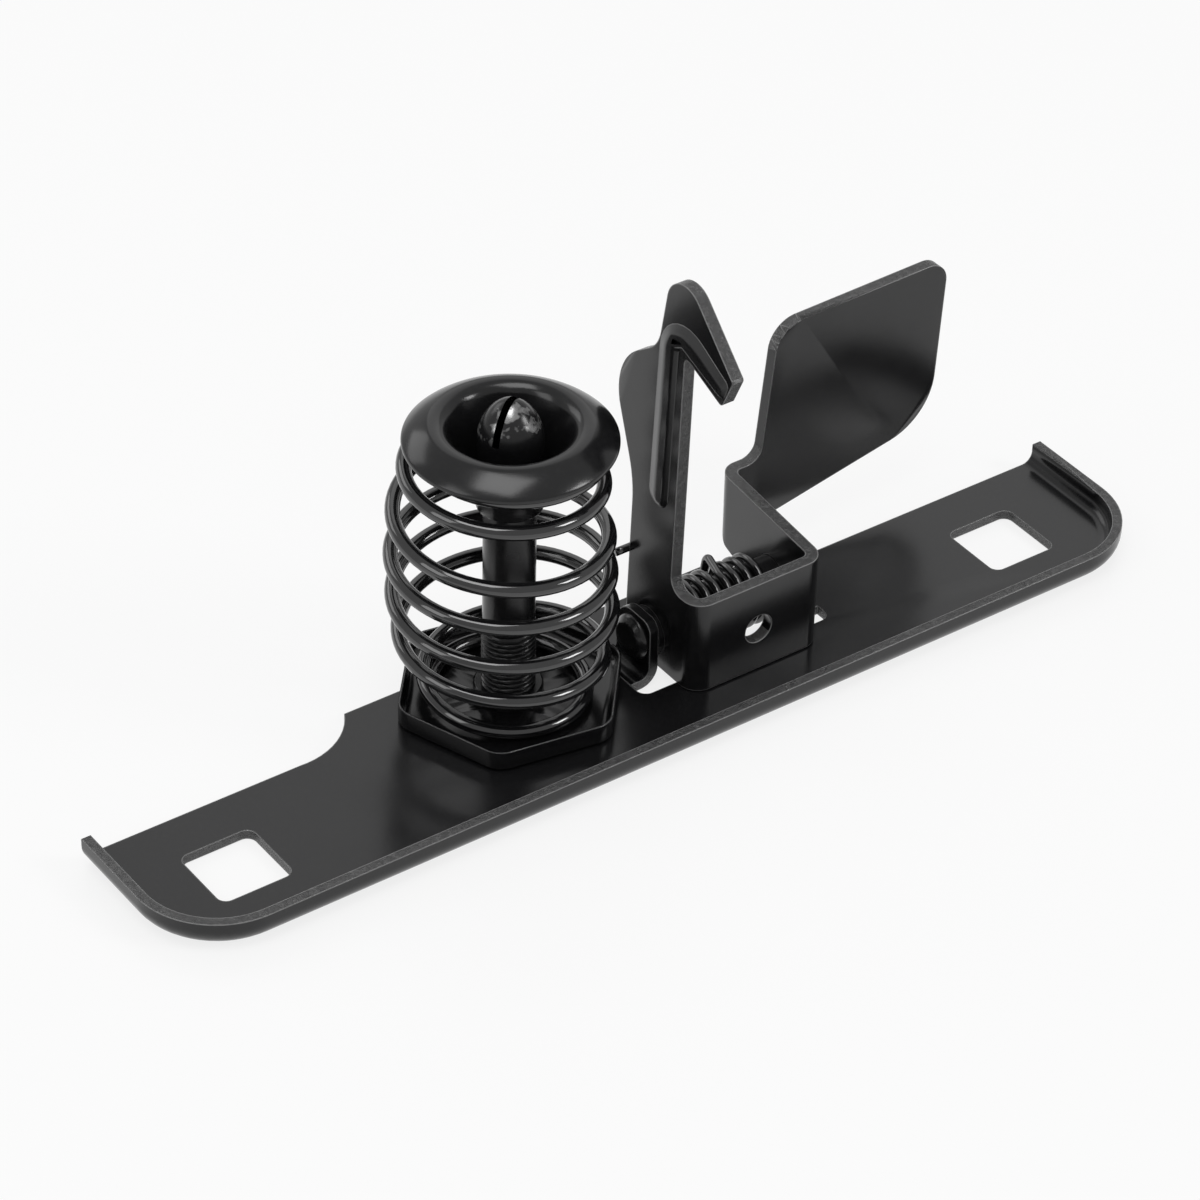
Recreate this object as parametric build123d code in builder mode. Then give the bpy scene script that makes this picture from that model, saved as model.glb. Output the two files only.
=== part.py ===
from build123d import *
import os
from math import acos, atan2, cos, hypot, pi, radians, sin, tan

os.makedirs("parts", exist_ok=True)

# Driving sizes in millimetres.
# X runs along the plate, Y towards its plain back edge, Z up.
# The origin is on the striker bolt's axis at the plate's underside.
# Shapes that cut run a little past the faces they cut.
past = 1.0

# Base plate: one sheet with its front and ends turned up
plate_sheet = 2.0
plate_left = -90.1
plate_right = 134.0
plate_front = -31.9
plate_back = 4.7
plate_wide_back = 13.1
wide_left = -28.4
wide_right = 57.0
step_length = 15.2
step_radius = 15.5
plate_corner_radius = 17.3
rim_height = 6.1
rim_bend_outer = 4.4
rim_bend_inner = 2.4
fixing_hole_size = 15.3
fixing_hole_corner = 2.0
fixing_hole_y = -13.0
fixing_hole_left = -68.3
fixing_hole_right = 109.7

# Window under the catch, and the ears lanced out of it
window_left = 21.4
window_right = 66.2
window_front = -14.0
window_back = 1.8
window_corner = 2.2
ear_sheet = 2.0
ear_bend_outer = 4.0
ear_inner_left = 27.7
ear_inner_right = 62.1
ear_front = -9.9
ear_back = 0.8
ear_top = 14.3
ear_corner_front = 2.5
ear_corner_back = 4.5

# Spring seat: a hexagonal pan on the plate
seat_flat_radius = 20.3
seat_shift = 0.5
seat_turn = 20.0
seat_corner_radius = 5.0
seat_sheet = 1.6
seat_height = 4.3
seat_rim_land = 0.5
seat_wall_radius = 1.9
seat_foot_chamfer = 0.7

# Threaded bush and striker bolt
bolt_radius = 5.0
bolt_bottom = 0.3
bolt_end_chamfer = 0.6
bush_body_radius = 6.2
bush_collar_radius = 6.7
bush_collar_height = 2.5
bush_collar_chamfer = 0.4
bush_bore_gap = 0.03
bush_body_gap = 0.03
head_radius = 6.15
head_bottom = 49.2
head_cylinder_bottom = 54.3
head_shoulder = 62.8
head_tip = 70.6
head_tip_radius = 1.6
head_tip_drop = 0.5
slot_width = 1.4
slot_turn = 28.6
slot_bottom = 63.5

# Spring cup: a pressed funnel that slides on the bolt.
# Its outline is the middle of the sheet, from the short neck to the lip.
cup_sheet = 1.2
cup_neck_radius = 5.75
cup_neck_bottom = 47.3
cup_neck_top = 49.5
cup_cone_angle = 24.4
cup_slope_angle = 34.9
cup_crown_top = 64.9
cup_crown_round = 2.37
cup_crown_steps = 5
cup_lip_radius = 19.4
cup_lip_top = 61.85
cup_lip_bottom = 61.2

# Main spring: a left-handed barrel, leaning a little to the left of the view from the front.
# From the front, each half turn has its wire centre's height, its radius and its lean.
main_wire = 2.9
main_coils = (
    (5.2, 14.9, 0.0),
    (5.2, 14.9, 0.0),
    (5.6, 14.9, 0.0),
    (10.3, 17.2, 0.3),
    (16.6, 19.7, 0.9),
    (21.6, 20.1, 0.4),
    (25.0, 20.3, 1.5),
    (30.2, 20.2, 1.4),
    (34.0, 20.3, 1.5),
    (38.3, 20.2, 2.0),
    (42.6, 20.1, 1.6),
    (49.6, 19.5, 1.9),
    (54.3, 18.6, 1.6),
    (57.7, 17.8, 0.9),
    (60.0, 16.9, 0.2),
    (61.3, 15.9, 0.0),
    (62.0, 14.9, 0.0),
)
main_front_angle = 234.0
main_lean_angle = 144.0
main_points_per_coil = 10
wire_sides = 8

# Catch: one bent sheet with a hook, a web, an arm and a thumb paddle
catch_sheet = 2.5
catch_bottom = 2.3
catch_leg_top = 22.4
catch_left = 29.0
catch_right = 59.7
web_front = -19.4
catch_bend = 4.0
arm_splay = 4.5
arm_back = 13.4
paddle_front = 12.8
paddle_right = 112.9
paddle_blank = 60.0
stop_angle = 13.0
stop_start = -4.4
stop_back = 2.7
arm_corner_z = 14.8
web_hole_radius = 3.1
web_hole_x = 44.2
web_hole_z = 11.9
bead_height = 0.9
bead_taper = 50.0

# Pivot: a sleeve between the ears with a rivet through it
pivot_y = -5.2
pivot_z = 9.2
sleeve_radius = 4.8
sleeve_gap = 0.05
sleeve_end_gap = 0.1
rivet_radius = 3.0
rivet_gap = 0.02
rivet_head_radius = 4.6
rivet_head_height = 2.2
rivet_head_chamfer = 1.3

# Catch spring: a torsion coil on the sleeve
catch_wire = 1.6
catch_coil_radius = 6.3
catch_coil_left = 33.4
catch_coil_pitch = 2.5
catch_coil_turns = 8
catch_loop_turn = 5
catch_loop_arc = 0.25
catch_loop_back = 6.3
catch_loop_lean = 1.4
catch_leg_y = 2.75
catch_leg_z = 23.6
catch_leg_end = 25.2
catch_foot_y = 5.0
catch_foot_end = 7.0
catch_foot_z = 5.8
catch_spring_bend = 1.5
catch_points_per_turn = 24
catch_wire_step = 2.6


def plate_line(front, left, right, corner, back):
    """Closes the plate's outline, or its pocket's, with rounded front corners."""
    FilletPolyline(
        (left, back), (left, front), (right, front), (right, back), radius=corner
    )


def wire_planes(points):
    """Planes across a line of points, turned as little as possible from one to the next."""
    planes = []
    across = Vector(0, 0, 1)
    for n, point in enumerate(points):
        heading = points[min(n + 1, len(points) - 1)] - points[max(n - 1, 0)]
        heading = heading.normalized()
        across = (across - heading * across.dot(heading)).normalized()
        planes.append(Plane(point, x_dir=across, z_dir=heading))
    return planes


def ear_top_edges(sheet_mid):
    """Edges along X at the top of one ear, from front to back."""
    return (
        base_plate.edges()
        .filter_by(Axis.X)
        .filter_by(lambda e: abs(e.center().X - sheet_mid) < ear_sheet)
        .filter_by(lambda e: e.center().Z > ear_top - 0.1)
        .sort_by(Axis.Y)
    )


# Base plate
with BuildPart(mode=Mode.PRIVATE) as rim_pocket:
    with BuildSketch(Plane.XY.offset(plate_sheet)):
        with BuildLine():
            plate_line(
                plate_front + plate_sheet,
                plate_left + plate_sheet,
                plate_right - plate_sheet,
                plate_corner_radius - plate_sheet,
                plate_wide_back + plate_corner_radius,
            )
            Line(
                (plate_right - plate_sheet, plate_wide_back + plate_corner_radius),
                (plate_left + plate_sheet, plate_wide_back + plate_corner_radius),
            )
        make_face()
    extrude(amount=rim_height)
    fillet(rim_pocket.faces().sort_by(Axis.Z)[0].edges(), radius=rim_bend_inner)

with BuildPart() as base_plate:
    with BuildSketch():
        with BuildLine():
            plate_line(plate_front, plate_left, plate_right, plate_corner_radius, plate_back)
            Line((plate_left, plate_back), (wide_left - step_length, plate_back))
            RadiusArc(
                (wide_left - step_length, plate_back),
                (wide_left, plate_wide_back),
                -step_radius,
            )
            Line((wide_left, plate_wide_back), (wide_right, plate_wide_back))
            RadiusArc(
                (wide_right, plate_wide_back),
                (wide_right + step_length, plate_back),
                -step_radius,
            )
            Line((wide_right + step_length, plate_back), (plate_right, plate_back))
        make_face()
    extrude(amount=rim_height)
    outer_foot = (
        base_plate.edges()
        .group_by(Axis.Z)[0]
        .filter_by(lambda e: e.center().Y < plate_back - 1)
    )
    fillet(outer_foot, radius=rim_bend_outer)
    add(rim_pocket.part, mode=Mode.SUBTRACT)

    # Square fixing holes and the window
    with BuildSketch():
        with Locations((fixing_hole_left, fixing_hole_y), (fixing_hole_right, fixing_hole_y)):
            RectangleRounded(fixing_hole_size, fixing_hole_size, fixing_hole_corner)
        with Locations(
            ((window_left + window_right) / 2, (window_front + window_back) / 2)
        ):
            RectangleRounded(
                window_right - window_left, window_back - window_front, window_corner
            )
        Circle(bush_body_radius + bush_body_gap)
    extrude(amount=plate_sheet, mode=Mode.SUBTRACT)

    # Ears, bent up from the window's two ends
    for inner, side in ((ear_inner_left, -1), (ear_inner_right, 1)):
        bend_x = inner + side * ear_bend_outer
        sheet_mid = inner + side * ear_sheet / 2
        with BuildSketch(Plane.XZ.offset(-ear_back)):
            with BuildLine():
                FilletPolyline(
                    (bend_x + side * window_corner, ear_sheet / 2),
                    (sheet_mid, ear_sheet / 2),
                    (sheet_mid, ear_top),
                    radius=ear_bend_outer - ear_sheet / 2,
                )
            trace(line_width=ear_sheet)
        extrude(amount=ear_back - ear_front)
        fillet(ear_top_edges(sheet_mid)[0], radius=ear_corner_front)
        fillet(ear_top_edges(sheet_mid)[-1], radius=ear_corner_back)
    with BuildSketch(Plane.YZ.offset(ear_inner_left - ear_bend_outer)):
        with Locations((pivot_y, pivot_z)):
            Circle(rivet_radius)
    extrude(
        amount=ear_inner_right - ear_inner_left + 2 * ear_bend_outer, mode=Mode.SUBTRACT
    )
base_plate.part.label = "base_plate"
export_step(base_plate.part, "parts/base_plate.step")


# Spring seat
with BuildPart(mode=Mode.PRIVATE) as seat_pocket:
    with BuildSketch(Plane.XY.offset(plate_sheet + seat_sheet)):
        with Locations((seat_shift, 0)):
            RegularPolygon(
                seat_flat_radius - seat_rim_land,
                6,
                major_radius=False,
                rotation=seat_turn - 30,
            )
        fillet(vertices(), radius=seat_corner_radius - seat_rim_land)
    extrude(amount=seat_height)
    fillet(seat_pocket.faces().sort_by(Axis.Z)[0].edges(), radius=seat_wall_radius)

with BuildPart() as spring_seat:
    with BuildSketch(Plane.XY.offset(plate_sheet)):
        with Locations((seat_shift, 0)):
            RegularPolygon(
                seat_flat_radius, 6, major_radius=False, rotation=seat_turn - 30
            )
        fillet(vertices(), radius=seat_corner_radius)
    extrude(amount=seat_height)
    chamfer(spring_seat.faces().sort_by(Axis.Z)[0].edges(), length=seat_foot_chamfer)
    add(seat_pocket.part, mode=Mode.SUBTRACT)
    with BuildSketch(Plane.XY.offset(plate_sheet)):
        Circle(bush_body_radius + bush_body_gap)
    extrude(amount=seat_sheet, mode=Mode.SUBTRACT)
spring_seat.part.label = "spring_seat"
export_step(spring_seat.part, "parts/spring_seat.step")


# Threaded bush, staked through the plate and the seat
seat_floor = plate_sheet + seat_sheet
with BuildPart() as threaded_bush:
    with BuildSketch():
        Circle(bush_body_radius)
    extrude(amount=seat_floor)
    with BuildSketch(Plane.XY.offset(seat_floor)):
        Circle(bush_collar_radius)
    extrude(amount=bush_collar_height)
    chamfer(threaded_bush.edges().group_by(Axis.Z)[-1], length=bush_collar_chamfer)
    with BuildSketch():
        Circle(bolt_radius + bush_bore_gap)
    extrude(amount=seat_floor + bush_collar_height, mode=Mode.SUBTRACT)
threaded_bush.part.label = "threaded_bush"
export_step(threaded_bush.part, "parts/threaded_bush.step")


# Striker bolt with a bullet head and a driver slot
with BuildPart() as striker_bolt:
    with BuildSketch(Plane.XZ):
        with BuildLine():
            Polyline(
                (0, bolt_bottom),
                (bolt_radius - bolt_end_chamfer, bolt_bottom),
                (bolt_radius, bolt_bottom + bolt_end_chamfer),
                (bolt_radius, head_bottom),
                (head_radius, head_cylinder_bottom),
                (head_radius, head_shoulder),
            )
            Spline(
                (head_radius, head_shoulder),
                (head_tip_radius, head_tip - head_tip_drop),
                (0, head_tip),
                tangents=((0, 1), (-1, 0)),
            )
            Line((0, head_tip), (0, bolt_bottom))
        make_face()
    revolve(axis=Axis.Z)
    with BuildSketch(Plane.XY.offset(slot_bottom)):
        Rectangle(2 * (head_radius + past), slot_width, rotation=slot_turn)
    extrude(amount=head_tip - slot_bottom + past, mode=Mode.SUBTRACT)
striker_bolt.part.label = "striker_bolt"
export_step(striker_bolt.part, "parts/striker_bolt.step")


# Spring cup
def cup_side(offset):
    """One side of the cup's sheet, at a distance from its middle, towards the inside."""
    cone = radians(cup_cone_angle)
    slope = radians(cup_slope_angle)
    crown_middle = cup_crown_top - cup_crown_round
    crown_radius = (
        cup_lip_radius
        + (cup_lip_top - crown_middle) / tan(slope)
        - cup_crown_round / sin(slope)
    )
    reach = cup_crown_round + offset
    start = pi - cone
    end = pi / 2 - slope
    points = [
        (cup_neck_radius - offset, cup_neck_bottom),
        (cup_neck_radius - offset, cup_neck_top + offset * tan(cone / 2)),
    ]
    for n in range(cup_crown_steps + 1):
        angle = start + (end - start) * n / cup_crown_steps
        points.append((crown_radius + reach * cos(angle), crown_middle + reach * sin(angle)))
    points.append((cup_lip_radius + offset, cup_lip_top + offset * tan(slope / 2)))
    points.append((cup_lip_radius + offset, cup_lip_bottom))
    return points


with BuildPart() as spring_cup:
    with BuildSketch(Plane.XZ):
        with BuildLine():
            inner_side = cup_side(cup_sheet / 2)
            Polyline(*inner_side, *reversed(cup_side(-cup_sheet / 2)), inner_side[0])
        make_face()
    revolve(axis=Axis.Z)
spring_cup.part.label = "spring_cup"
export_step(spring_cup.part, "parts/spring_cup.step")


# Main spring, through a height, a radius and a lean for every half turn
def smooth_row(rows, place):
    """Values between two rows of a table, on a curve that is smooth at every row."""
    whole = min(int(place), len(rows) - 2)
    t = place - whole
    last = len(rows) - 1
    nearby = zip(*(rows[min(max(whole + n, 0), last)] for n in (-1, 0, 1, 2)))
    return [
        b + t * (c - a + t * (2 * a - 5 * b + 4 * c - d + t * (3 * (b - c) + d - a))) / 2
        for a, b, c, d in nearby
    ]


main_points = []
for step in range((len(main_coils) - 1) * main_points_per_coil + 1):
    half_turn = step / main_points_per_coil
    height, radius, lean = smooth_row(main_coils, half_turn)
    angle = radians(main_front_angle - 180 * half_turn)
    lean_angle = radians(main_lean_angle)
    main_points.append(
        Vector(
            radius * cos(angle) + lean * cos(lean_angle),
            radius * sin(angle) + lean * sin(lean_angle),
            height,
        )
    )

with BuildPart() as main_spring:
    for wire_plane in wire_planes(main_points):
        with BuildSketch(wire_plane):
            RegularPolygon(main_wire / 2, wire_sides)
    loft(ruled=True)
main_spring.part.label = "main_spring"
export_step(main_spring.part, "parts/main_spring.step")


# Catch: the hook plate and left leg, seen from the left side
hook_line = (
    (web_front + catch_bend, catch_bottom),
    (stop_start, catch_bottom),
    (stop_back, catch_bottom + (stop_back - stop_start) * tan(radians(stop_angle))),
    (1.3, 40.4),
    (9.2, 63.8),
    (-5.1, 74.2),
    (-9.2, 96.9),
    (-27.6, 78.5),
    (-24.6, 71.8),
    (-13.1, 76.4),
    (-11.3, catch_leg_top),
    (web_front + catch_bend, catch_leg_top),
)
hook_radii = (6.0, 2.0, 27.0, 13.5, 8.5, 5.5, 0.8, 0.9, 1.2, 3.0)

# The bead pressed round the hook's throat
bead_line = (
    (-11.35, 76.6),
    (-9.5, 39.2),
    (-3.5, 39.2),
    (-6.2, 88.0),
    (-26.6, 77.4),
    (-25.0, 73.2),
    (-12.8, 77.4),
)
bead_radii = (2.8, 2.8, 8.6, 1.4, 1.4)

# The paddle's outline, seen from the front
paddle_line = (
    (catch_right - 2, catch_leg_top),
    (68.3, catch_leg_top),
    (71.3, 52.1),
    (paddle_right, 53.2),
    (110.9, 16.4),
    (66.4, 7.5),
    (66.4, arm_corner_z),
    (catch_right - 2, arm_corner_z),
)
paddle_radii = (3.5, 6.5, 4.5, 13.0, 1.6, 1.6)


with BuildPart(mode=Mode.PRIVATE) as arm_mask:
    with BuildSketch(Plane.YZ.offset(catch_left - past)):
        with BuildLine():
            FilletPolyline(
                (web_front - past, catch_bottom),
                (stop_start, catch_bottom),
                (arm_back, catch_bottom + (arm_back - stop_start) * tan(radians(stop_angle))),
                (arm_back, arm_corner_z),
                radius=(6.0, 3.0),
            )
            Polyline(
                (arm_back, arm_corner_z),
                (paddle_front + 2 * catch_sheet, arm_corner_z),
                (paddle_front + 2 * catch_sheet, catch_leg_top),
                (web_front - past, catch_leg_top),
                (web_front - past, catch_bottom),
            )
        make_face()
    extrude(amount=catch_right + 4 - catch_left)
    with BuildSketch(Plane.XZ.offset(-paddle_front - 2 * catch_sheet)):
        with BuildLine():
            FilletPolyline(*paddle_line, radius=paddle_radii)
            Line(paddle_line[-1], paddle_line[0])
        make_face()
    extrude(amount=4 * catch_sheet)

with BuildPart() as catch:
    # Web, arm and paddle follow one bent line in plan
    mid = catch_sheet / 2
    arm_length = paddle_front - web_front
    with BuildSketch(Plane.XY.offset(catch_bottom)):
        with BuildLine():
            FilletPolyline(
                (catch_left + mid, web_front + 2 * catch_bend),
                (catch_left + mid, web_front + mid),
                (catch_right - mid, web_front + mid),
                (catch_right - mid + arm_length * tan(radians(arm_splay)), paddle_front + mid),
                (paddle_right + 2, paddle_front + mid),
                radius=catch_bend - mid,
            )
        trace(line_width=catch_sheet)
    extrude(amount=paddle_blank)
    add(arm_mask.part, mode=Mode.INTERSECT)

    with BuildSketch(Plane.YZ.offset(catch_left)):
        with BuildLine():
            FilletPolyline(*hook_line, radius=hook_radii)
            Line(hook_line[-1], hook_line[0])
        make_face()
    extrude(amount=catch_sheet)

    # The bead stands proud of the left face and is hollow on the right face
    for face_x, mode in ((catch_left, Mode.ADD), (catch_left + catch_sheet, Mode.SUBTRACT)):
        with BuildSketch(Plane.YZ.offset(face_x)) as bead_face:
            with BuildLine():
                FilletPolyline(*bead_line, radius=bead_radii)
                Line(bead_line[-1], bead_line[0])
            make_face()
        extrude(amount=-bead_height, taper=bead_taper, mode=mode)
    with BuildSketch(Plane.XZ.offset(-web_front)):
        with Locations((web_hole_x, web_hole_z)):
            Circle(web_hole_radius)
    extrude(amount=-2 * catch_sheet, mode=Mode.SUBTRACT)
    with BuildSketch(Plane.YZ.offset(catch_left - past)):
        with Locations((pivot_y, pivot_z)):
            Circle(sleeve_radius + sleeve_gap)
    extrude(amount=catch_right - catch_left + 4, mode=Mode.SUBTRACT)
catch.part.label = "catch"
export_step(catch.part, "parts/catch.step")


# Pivot sleeve and rivet
with BuildPart() as pivot_sleeve:
    with BuildSketch(Plane.YZ.offset(ear_inner_left + sleeve_end_gap)):
        with Locations((pivot_y, pivot_z)):
            Circle(sleeve_radius)
            Circle(rivet_radius + sleeve_gap, mode=Mode.SUBTRACT)
    extrude(amount=ear_inner_right - ear_inner_left - 2 * sleeve_end_gap)
pivot_sleeve.part.label = "pivot_sleeve"
export_step(pivot_sleeve.part, "parts/pivot_sleeve.step")

with BuildPart() as pivot_rivet:
    rivet_left = ear_inner_left - ear_sheet
    rivet_right = ear_inner_right + ear_sheet
    with BuildSketch(Plane.YZ.offset(rivet_left)):
        with Locations((pivot_y, pivot_z)):
            Circle(rivet_radius - rivet_gap)
    extrude(amount=rivet_right - rivet_left)
    for face_x, side in ((rivet_left, -1), (rivet_right, 1)):
        with BuildSketch(Plane.YZ.offset(face_x)):
            with Locations((pivot_y, pivot_z)):
                Circle(rivet_head_radius)
        extrude(amount=side * rivet_head_height)
        rim = pivot_rivet.edges().filter_by(GeomType.CIRCLE).sort_by(Axis.X)
        chamfer(rim[0] if side < 0 else rim[-1], length=rivet_head_chamfer)
pivot_rivet.part.label = "pivot_rivet"
export_step(pivot_rivet.part, "parts/pivot_rivet.step")


# Catch spring: a leg behind the hook plate, the coil with its loop, and a foot over the plate
def touching_turn(y, z, side):
    """Angle on the coil, in turns, where a straight leg from a point touches it."""
    reach = hypot(y - pivot_y, z - pivot_z)
    aim = atan2(z - pivot_z, y - pivot_y)
    return (aim + side * acos(catch_coil_radius / reach)) / (2 * pi)


def coil_heading(turn):
    """Direction of the catch spring's wire after a number of turns."""
    angle = 2 * pi * (first_turn - turn)
    return Vector(catch_coil_pitch / (2 * pi * catch_coil_radius), sin(angle), -cos(angle))


def coil_point(turn):
    """Centre of the catch spring's wire after a number of turns."""
    angle = 2 * pi * (first_turn - turn)
    return Vector(
        catch_coil_left + catch_coil_pitch * turn,
        pivot_y + catch_coil_radius * cos(angle),
        pivot_z + catch_coil_radius * sin(angle),
    )


def coil_line(start, end):
    """Draws the coil from one turn to another."""
    steps = round((end - start) * catch_points_per_turn)
    Spline(*[coil_point(start + (end - start) * n / steps) for n in range(steps + 1)])


first_turn = touching_turn(catch_leg_y, catch_leg_z, -1)
last_turn = first_turn - touching_turn(catch_foot_y, catch_foot_z, 1) + catch_coil_turns
loop_start = first_turn - catch_loop_arc + catch_loop_turn
loop_end = loop_start + catch_loop_arc
loop_x = catch_coil_left + catch_coil_pitch * (loop_start + loop_end) / 2
leg_length = (catch_leg_z - coil_point(0).Z) / -coil_heading(0).Z
leg_corner = coil_point(0) - coil_heading(0) * leg_length
foot_length = (coil_point(last_turn).Z - catch_foot_z) / -coil_heading(last_turn).Z
foot_corner = coil_point(last_turn) + coil_heading(last_turn) * foot_length

with BuildLine() as spring_path:
    FilletPolyline(
        (catch_leg_end, catch_leg_y, catch_leg_z),
        leg_corner,
        coil_point(0),
        radius=catch_spring_bend,
    )
    coil_line(0, loop_start)
    FilletPolyline(
        coil_point(loop_start),
        (loop_x + catch_loop_lean, pivot_y + catch_loop_back, pivot_z + catch_coil_radius),
        coil_point(loop_end),
        radius=catch_spring_bend,
    )
    coil_line(loop_end, last_turn)
    FilletPolyline(
        coil_point(last_turn),
        foot_corner,
        (foot_corner.X, catch_foot_end, catch_foot_z),
        radius=catch_spring_bend,
    )
spring_wire = spring_path.wires()[0]
spring_steps = round(spring_wire.length / catch_wire_step)

with BuildPart() as catch_spring:
    spring_points = [spring_wire @ (n / spring_steps) for n in range(spring_steps + 1)]
    for wire_plane in wire_planes(spring_points):
        with BuildSketch(wire_plane):
            RegularPolygon(catch_wire / 2, wire_sides - 2)
    loft(ruled=True)
catch_spring.part.label = "catch_spring"
export_step(catch_spring.part, "parts/catch_spring.step")
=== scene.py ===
import bmesh
import bpy
import numpy as np
from mathutils import Matrix


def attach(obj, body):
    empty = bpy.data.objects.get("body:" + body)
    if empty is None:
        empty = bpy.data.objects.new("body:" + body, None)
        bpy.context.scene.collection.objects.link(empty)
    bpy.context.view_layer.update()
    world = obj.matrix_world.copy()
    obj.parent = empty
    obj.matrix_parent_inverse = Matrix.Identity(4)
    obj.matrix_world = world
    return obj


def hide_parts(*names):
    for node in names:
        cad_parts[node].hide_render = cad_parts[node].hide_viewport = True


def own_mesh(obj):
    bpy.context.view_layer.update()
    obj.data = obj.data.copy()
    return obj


# Bonnet latch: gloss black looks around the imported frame, in metres
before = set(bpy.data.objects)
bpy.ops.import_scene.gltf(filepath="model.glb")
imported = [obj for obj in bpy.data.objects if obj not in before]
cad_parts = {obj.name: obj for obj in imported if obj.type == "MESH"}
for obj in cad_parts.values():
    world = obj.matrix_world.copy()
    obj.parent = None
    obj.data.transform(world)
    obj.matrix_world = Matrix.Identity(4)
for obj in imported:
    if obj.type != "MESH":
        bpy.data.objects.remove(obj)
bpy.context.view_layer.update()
mm = 0.001

# Camera, in the frame's axes: right, up and back are its own directions
cameraSet = {
    "place": (-0.39592, -0.57007, 0.55039),
    "azimuth": -36.179,
    "elevation": 37.099,
    "roll": 1.416,
    "lens": 140.22,
    "sensor": 36.0,
    "nearest": 0.01,
    "farthest": 20.0,
}


def makeCamera(s):
    az, el, roll = np.radians([s["azimuth"], s["elevation"], s["roll"]])
    back = np.array([np.sin(az) * np.cos(el), -np.cos(az) * np.cos(el), np.sin(el)])
    right = np.array([np.cos(az), np.sin(az), 0.0])
    up = np.cross(back, right)
    rolledRight = np.cos(roll) * right + np.sin(roll) * up
    rolledUp = -np.sin(roll) * right + np.cos(roll) * up
    data = bpy.data.cameras.new("photoCamera")
    data.lens = s["lens"]
    data.sensor_width = s["sensor"]
    data.clip_start = s["nearest"]
    data.clip_end = s["farthest"]
    cam = bpy.data.objects.new("photoCamera", data)
    turn = np.eye(4)
    turn[:3, :3] = np.stack([rolledRight, rolledUp, back], axis=1)
    turn[:3, 3] = s["place"]
    cam.matrix_world = Matrix(turn.tolist())
    bpy.context.scene.collection.objects.link(cam)
    bpy.context.scene.camera = cam


makeCamera(cameraSet)
print("camera is set")

# Studio: pale floor, soft world, and large soft lamps
studioSet = {
    "floorColour": (0.72, 0.72, 0.72, 1),
    "floorRoughness": 0.3,
    "floorWhite": 0.8,  # share of plain white that the camera and mirrors see over the lit floor
    "floorSize": 6.0,
    "floorDrop": 0.0002,
    "worldColour": (0.55, 0.55, 0.55, 1),
    "lamps": (
        # name, place, aimed at, width, height, watts
        ("backCard", (0.75, 0.95, 0.95), (0.02, 0.0, 0.0), 1.3, 1.0, 2.0),
        ("backLeftCard", (-0.35, 1.20, 0.65), (0.02, 0.0, 0.0), 0.7, 0.5, 1.6),
        ("topCard", (-0.25, -0.15, 1.3), (0.02, 0.0, 0.0), 0.7, 0.7, 6.0),
        ("leftCard", (-1.1, 0.1, 0.7), (0.02, 0.0, 0.03), 0.5, 0.8, 2.5),
        ("rightCard", (0.90, -0.97, 0.85), (0.09, 0.0, 0.0), 0.42, 0.42, 6.0),
    ),
}


def makeStudio(s):
    scene = bpy.context.scene
    scene.view_settings.view_transform = "Standard"
    half = s["floorSize"] / 2
    mesh = bpy.data.meshes.new("floor")
    z = -s["floorDrop"]
    corners = [(-half, -half, z), (half, -half, z), (half, half, z), (-half, half, z)]
    mesh.from_pydata(corners, [], [(0, 1, 2, 3)])
    floor = bpy.data.objects.new("floor", mesh)
    scene.collection.objects.link(floor)
    mat = bpy.data.materials.new("paleFloor")
    mat.use_nodes = True
    nodes, links = mat.node_tree.nodes, mat.node_tree.links
    shader = nodes["Principled BSDF"]
    shader.inputs["Base Color"].default_value = s["floorColour"]
    shader.inputs["Roughness"].default_value = s["floorRoughness"]
    white = nodes.new("ShaderNodeEmission")
    path = nodes.new("ShaderNodeLightPath")
    either = nodes.new("ShaderNodeMath")
    either.operation = "MAXIMUM"
    links.new(path.outputs["Is Camera Ray"], either.inputs[0])
    links.new(path.outputs["Is Glossy Ray"], either.inputs[1])
    seen = nodes.new("ShaderNodeMath")
    seen.operation = "MULTIPLY"
    seen.inputs[1].default_value = s["floorWhite"]
    links.new(either.outputs[0], seen.inputs[0])
    blend = nodes.new("ShaderNodeMixShader")
    links.new(seen.outputs[0], blend.inputs["Fac"])
    links.new(shader.outputs["BSDF"], blend.inputs[1])
    links.new(white.outputs["Emission"], blend.inputs[2])
    links.new(blend.outputs["Shader"], nodes["Material Output"].inputs["Surface"])
    mesh.materials.append(mat)
    world = bpy.data.worlds.new("studio")
    scene.world = world
    world.use_nodes = True
    world.node_tree.nodes["Background"].inputs["Color"].default_value = s["worldColour"]
    for name, place, aim, width, height, watts in s["lamps"]:
        data = bpy.data.lights.new(name, "AREA")
        data.shape = "RECTANGLE"
        data.size = width
        data.size_y = height
        data.energy = watts
        lamp = bpy.data.objects.new(name, data)
        out = np.array(place) - np.array(aim)
        out = out / np.linalg.norm(out)
        side = np.cross([0, 0, 1], out)
        side = side / np.linalg.norm(side)
        turn = np.eye(4)
        turn[:3, :3] = np.stack([side, np.cross(out, side), out], axis=1)
        turn[:3, 3] = place
        lamp.matrix_world = Matrix(turn.tolist())
        scene.collection.objects.link(lamp)


makeStudio(studioSet)
print("studio is set")


# Materials, all on Object coordinates
def noiseNode(nodes, links, vector, scale, detail, rough):
    noise = nodes.new("ShaderNodeTexNoise")
    noise.inputs["Scale"].default_value = scale
    noise.inputs["Detail"].default_value = detail
    noise.inputs["Roughness"].default_value = rough
    links.new(vector, noise.inputs["Vector"])
    return noise.outputs["Fac"]


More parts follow.
